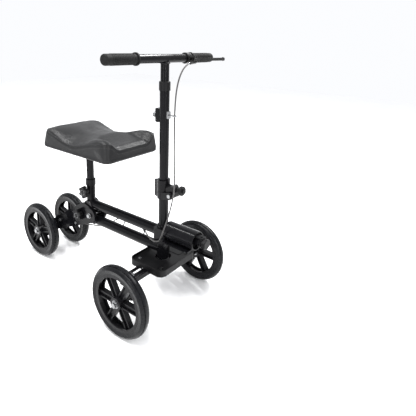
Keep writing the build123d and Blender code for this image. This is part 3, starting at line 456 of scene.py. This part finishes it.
def make_seat():
    """Contoured seat: ringed top and leaning sides, swollen by cloth, with piping and stitching."""
    low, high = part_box("seat_pad")
    centre = [(a + b) / 2 for a, b in zip(low, high)]
    half_length = (high[0] - low[0]) / 2 - 0.0005
    half_width = (high[1] - low[1]) / 2 - 0.0005
    bottom = low[2] + 0.0004
    height = high[2] - bottom
    count = SEAT_POINTS
    inner_rings = 24
    levels = 14

    def top_height(along, across):
        return height - seat_dip(across, along, half_width, half_length)

    vertices = []
    for ring in range(inner_rings + 1):
        shrink = (ring / inner_rings) ** 0.8
        for step in range(count if ring else 1):
            along, across = seat_outline(step, count, half_length, half_width, 1)
            inset = SEAT_ROUND * (1 - math.cos(math.pi / 2 * smooth_step((shrink - 0.86) / 0.14)))
            scale = shrink * (1 - SEAT_ROUND * 0.55 / half_width)
            along, across = along * scale, across * scale
            top = bottom + top_height(along, across) - inset * 0.75
            vertices.append((centre[0] + along, centre[1] + across, top))
    for level in range(1, levels + 1):
        down = level / levels
        for step in range(count):
            top = seat_outline(step, count, half_length, half_width, 1)
            rim = top_height(*top) - SEAT_ROUND * 0.75
            up = rim * (1 - down) / height
            along, across = seat_outline(step, count, half_length, half_width, up)
            foot = 0.0025 * max(0.0, down - 0.86) / 0.14
            away = Vector((along, across)).normalized() * foot
            place = (centre[0] + along - away.x, centre[1] + across - away.y)
            vertices.append((*place, bottom + rim * (1 - down)))
    faces = [(0, 1 + step, 1 + (step + 1) % count) for step in range(count)]
    for ring in range(inner_rings + levels - 1):
        here, there = 1 + ring * count, 1 + (ring + 1) * count
        faces += [
            (here + step, there + step, there + (step + 1) % count, here + (step + 1) % count)
            for step in range(count)
        ]
    last = 1 + (inner_rings + levels - 1) * count
    faces.append(tuple(last + step for step in range(count)))
    mesh = bpy.data.meshes.new("seat_cover")
    mesh.from_pydata(vertices, [], faces)
    tidy = bmesh.new()
    tidy.from_mesh(mesh)
    bmesh.ops.recalc_face_normals(tidy, faces=tidy.faces)
    tidy.to_mesh(mesh)
    tidy.free()
    seat = new_object("seat_cover", mesh, materials["seat_vinyl"])
    inflate(seat, bottom)
    subdivide = seat.modifiers.new("fine", "SUBSURF")
    subdivide.levels = 1
    subdivide.render_levels = 1
    apply_modifiers(seat)
    seat.data.shade_smooth()
    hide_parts("seat_pad")
    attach(seat, "seat")
    add_seat_trim(seat, centre, half_length, half_width, bottom)


def apply_modifiers(piece):
    """Turns the modified mesh into the piece's own mesh."""
    graph = bpy.context.evaluated_depsgraph_get()
    evaluated = piece.evaluated_get(graph)
    mesh = bpy.data.meshes.new_from_object(evaluated)
    for index, material in enumerate(piece.data.materials):
        if index >= len(mesh.materials):
            mesh.materials.append(material)
    piece.modifiers.clear()
    piece.data = mesh


def inflate(piece, bottom):
    """Swells the piece by cloth pressure, with each point's travel capped."""
    remesh = piece.modifiers.new("voxels", "REMESH")
    remesh.mode = "VOXEL"
    remesh.voxel_size = SEAT_VOXEL
    apply_modifiers(piece)
    start = [vertex.co.copy() for vertex in piece.data.vertices]
    pinned = piece.vertex_groups.new(name="board")
    pinned.add([i for i, co in enumerate(start) if co.z < bottom + 0.006], 1.0, "REPLACE")
    cloth = piece.modifiers.new("cloth", "CLOTH")
    cloth.settings.use_pressure = True
    cloth.settings.uniform_pressure_force = CLOTH_PRESSURE
    cloth.settings.quality = 5
    cloth.settings.vertex_group_mass = "board"
    cloth.settings.effector_weights.gravity = 0
    scene = bpy.context.scene
    scene.frame_start = 1
    scene.frame_end = CLOTH_FRAMES
    for number in range(1, CLOTH_FRAMES + 1):
        scene.frame_set(number)
    graph = bpy.context.evaluated_depsgraph_get()
    moved = piece.evaluated_get(graph).data
    places = [vertex.co.copy() for vertex in moved.vertices]
    piece.modifiers.clear()
    for vertex, old, new in zip(piece.data.vertices, start, places):
        travel = new - old
        if travel.length > SEAT_STEP:
            travel = travel.normalized() * SEAT_STEP
        vertex.co = old + travel
        vertex.co.z = max(vertex.co.z, bottom)
    scene.frame_set(1)
    soften = piece.modifiers.new("soften", "SMOOTH")
    soften.factor = 0.5
    soften.iterations = 4
    apply_modifiers(piece)


def add_seat_trim(seat, centre, half_length, half_width, bottom):
    """Piping round the top edge, a welt round the base, and a line of stitches under the piping."""
    tree = BVHTree.FromPolygons(
        [vertex.co for vertex in seat.data.vertices],
        [tuple(face.vertices) for face in seat.data.polygons],
    )
    count = SEAT_POINTS
    middle = Vector((centre[0], centre[1], 0))
    edges, stitches, base_line = [], [], []
    for step in range(count):
        along, across = seat_outline(step, count, half_length, half_width, 1)
        out = Vector((along, across, 0)).normalized()
        over = middle + Vector((along, across, bottom + 0.2)) - out * 0.0045
        hit = tree.ray_cast(over, Vector((0, 0, -1)))[0]
        if hit is not None:
            edges.append(hit)
            aside = Vector((hit.x, hit.y, hit.z - 0.012)) + out * 0.05
            touch = tree.ray_cast(aside, -out)[0]
            if touch is not None:
                stitches.append(touch)
        along, across = seat_outline(step, count, half_length, half_width, 0)
        aside = middle + Vector((along, across, bottom + 0.005)) + out * 0.05
        touch = tree.ray_cast(aside, -out)[0]
        if touch is not None:
            base_line.append(touch - out * 0.0005)
    for name, line, radius in (
        ("seat_piping", edges, 0.0019),
        ("seat_base_welt", base_line, 0.0016),
    ):
        welt = tube_along(name, line, radius, materials["seat_vinyl"], closed=True, resolution=3)
        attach(welt, "seat")
    make_stitches("seat_stitches", stitches, tree, "seat")


def make_stitches(name, line, tree, body):
    """Short thread stitches laid on a surface along a closed line."""
    stitch, gap, thick = 0.0042, 0.0018, 0.0005
    shape = bmesh.new()
    bmesh.ops.create_icosphere(shape, subdivisions=1, radius=1.0)
    ball = [vertex.co.copy() for vertex in shape.verts]
    ball_faces = [[vertex.index for vertex in face.verts] for face in shape.faces]
    shape.free()
    vertices, faces = [], []
    points = line + line[:1]
    carried = 0.0
    for start, end in zip(points, points[1:]):
        run = end - start
        length = run.length
        if length < 1e-5:
            continue
        way = run / length
        at = carried
        while at + stitch <= length + stitch * 0.5:
            spot, normal = tree.find_nearest(start + way * (at + stitch / 2))[:2]
            side = way.cross(normal).normalized()
            first = len(vertices)
            for corner in ball:
                along, across, out = corner.x * stitch / 2, corner.y * thick, corner.z * thick * 0.8
                vertices.append(spot + way * along + side * across + normal * out)
            faces += [[first + index for index in face] for face in ball_faces]
            at += stitch + gap
        carried = max(0.0, at - length)
    mesh = bpy.data.meshes.new(name)
    mesh.from_pydata(vertices, [], faces)
    stitches = new_object(name, mesh, thread())
    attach(stitches, body)


# ---------------------------------------------------------------- brake cable
CABLE_RADIUS = 0.0025
CABLE_ROUTES = {
    "brake_cable_bar": (
        ("handlebar", "upper_column"),
        (
            (0.334, 0.074, 0.889),
            (0.337, 0.05, 0.882),
            (0.339, 0.024, 0.86),
            (0.338, 0.007, 0.82),
            (0.336, 0.001, 0.77),
            (0.335, 0, 0.72),
        ),
    ),
    "brake_cable_column": (
        ("upper_column", "steerer"),
        (
            (0.335, 0, 0.719),
            (0.337, -0.002, 0.675),
            (0.343, -0.009, 0.62),
            (0.352, -0.018, 0.565),
            (0.361, -0.026, 0.51),
            (0.364, -0.031, 0.47),
            (0.359, -0.033, 0.44),
        ),
    ),
    "brake_cable_frame": (
        ("steerer", "frame"),
        (
            (0.3588, -0.0331, 0.4388),
            (0.352, -0.035, 0.405),
            (0.343, -0.038, 0.37),
            (0.334, -0.043, 0.338),
            (0.324, -0.046, 0.305),
            (0.308, -0.042, 0.276),
            (0.275, -0.033, 0.262),
            (0.238, -0.02, 0.26),
            (0.205, 0, 0.26),
            (0.17, 0.018, 0.261),
            (0.132, 0.025, 0.266),
            (0.092, 0.025, 0.269),
            (0.054, 0.025, 0.266),
            (0.02, 0.026, 0.25),
            (-0.006, 0.026, 0.229),
            (-0.028, 0.02, 0.21),
            (-0.05, 0.012, 0.202),
        ),
    ),
    "brake_cable_arm": (
        ("frame", "rear_arm"),
        (
            (-0.0511, 0.0116, 0.2016),
            (-0.08, 0.006, 0.195),
            (-0.115, 0, 0.19),
            (-0.155, -0.006, 0.186),
            (-0.2, -0.012, 0.182),
            (-0.245, -0.017, 0.18),
            (-0.297, -0.0195, 0.181),
        ),
    ),
}


def make_cable():
    """The brake cable's four spans, each a smooth tube running across its joint, and its metal ends."""
    for name, (bodies, route) in CABLE_ROUTES.items():
        sheath = "sheath_" + name.split("_")[-1]
        span = tube_along(sheath, route, CABLE_RADIUS, materials["cable_sheath"])
        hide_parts(name)
        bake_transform(span)
    bar_route = CABLE_ROUTES["brake_cable_bar"][1]
    arm_route = CABLE_ROUTES["brake_cable_arm"][1]
    ferrule("ferrule_lever", bar_route[0], bar_route[1], "handlebar")
    ferrule("ferrule_brake", arm_route[-1], arm_route[-2], "rear_arm")


def ferrule(name, end, towards, body):
    """Stepped metal cap on a cable end."""
    axis = Vector(towards) - Vector(end)
    profile = (
        (0, 0.0006),
        (0, 0.0031),
        (0.0008, 0.0035),
        (0.008, 0.0035),
        (0.009, 0.003),
        (0.012, 0.0028),
        (0.012, 0.0006),
    )
    cap = lathe(name, profile, end, axis, materials["zinc_steel"], segments=32)
    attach(cap, body)


# ---------------------------------------------------------------- small detail
RIB_COUNT = 14
FIRST_RIB = 0.146
RIB_PITCH = 0.0062


def box_centre(node):
    low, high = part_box(node)
    return Vector([(a + b) / 2 for a, b in zip(low, high)])


def add_wheel_detail(node, body, out_side):
    """Moulding ring on each wall of a tyre."""
    low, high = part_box(node)
    centre = box_centre(node)
    radius = (high[2] - low[2]) / 2
    half = (high[1] - low[1]) / 2
    for side in (1, -1):
        face = half - 0.0045
        profile = (
            (face, radius - 0.0125),
            (face + 0.0013, radius - 0.0119),
            (face + 0.0013, radius - 0.0107),
            (face - 0.0006, radius - 0.0099),
        )
        name = f"{node}_bead_{'outer' if side == out_side else 'inner'}"
        bead = lathe(name, profile, centre, (0, side, 0), materials["tyre"])
        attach(bead, body)


def star_knob_cap(node, axis, body):
    """Metal-ringed centre cap on a star knob."""
    low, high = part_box(node)
    centre = box_centre(node)
    reach = max((high[i] - low[i]) / 2 for i in range(3) if abs(axis[i]) > 0.5)
    outward = Vector(axis)
    face = centre + outward * reach
    ring = (
        (-0.0006, 0.0104),
        (0.001, 0.0104),
        (0.0014, 0.0109),
        (0.001, 0.0114),
        (-0.0006, 0.0114),
    )
    cap = (
        (-0.0006, 0.0001),
        (0.0016, 0.0001),
        (0.0019, 0.004),
        (0.0014, 0.0075),
        (0.0006, 0.0096),
        (-0.0006, 0.0096),
    )
    for part, profile, material in (("ring", ring, "zinc_steel"), ("cap", cap, "moulded_plastic")):
        piece = lathe(f"{node}_{part}", profile, face, axis, materials[material], segments=64)
        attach(piece, body)


def weld_bead(name, centre, axis, radius, body, size=0.0022):
    """Rippled weld bead round a tube."""
    axis = Vector(axis).normalized()
    across = axis.orthogonal().normalized()
    third = axis.cross(across)
    points = []
    ripples = max(40, int(radius * 2 * math.pi / 0.0028))
    for step in range(ripples * 2):
        angle = math.pi * step / ripples
        swell = radius + (0.0004 if step % 2 else -0.0002)
        points.append(Vector(centre) + (math.cos(angle) * across + math.sin(angle) * third) * swell)
    bead = tube_along(name, points, size, materials["painted_tube"], closed=True, resolution=2)
    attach(bead, body)


def add_grip_ribs(node):
    """Finger ribs round a grip."""
    low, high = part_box(node)
    centre = box_centre(node)
    sign = 1 if centre[1] > 0 else -1
    grip_radius = 0.0165
    rib_base = grip_radius - 0.0008
    rib_top = grip_radius + 0.0006
    profile = ((-0.0013, rib_base), (-0.0008, rib_top), (0.0008, rib_top), (0.0013, rib_base))
    for index in range(RIB_COUNT):
        at = sign * (FIRST_RIB + index * RIB_PITCH)
        spot = (centre[0], at, centre[2])
        rib = lathe(f"{node}_rib_{index}", profile, spot, (0, 1, 0), materials["grip_rubber"], segments=64)
        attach(rib, "handlebar")


make_camera()
make_studio()
materials = assign_materials()
make_seat()
make_cable()
for end_name in ("front", "rear"):
    for side_name, out_side in (("left", 1), ("right", -1)):
        add_wheel_detail(f"{end_name}_tyre_{side_name}", f"{end_name}_wheel_{side_name}", out_side)
star_knob_cap("seat_knob", (0, -1, 0), "seat_knob")
star_knob_cap("arm_knob", (0, -1, 0), "arm_knob")
add_grip_ribs("grip_left")
add_grip_ribs("grip_right")
weld_bead("weld_stem_top", (0.291, 0, 0.8885), (0, 0, 1), 0.0148, "handlebar")
weld_bead("weld_column_ring", (0.291, 0, 0.3217), (0, 0, 1), 0.0185, "steerer")
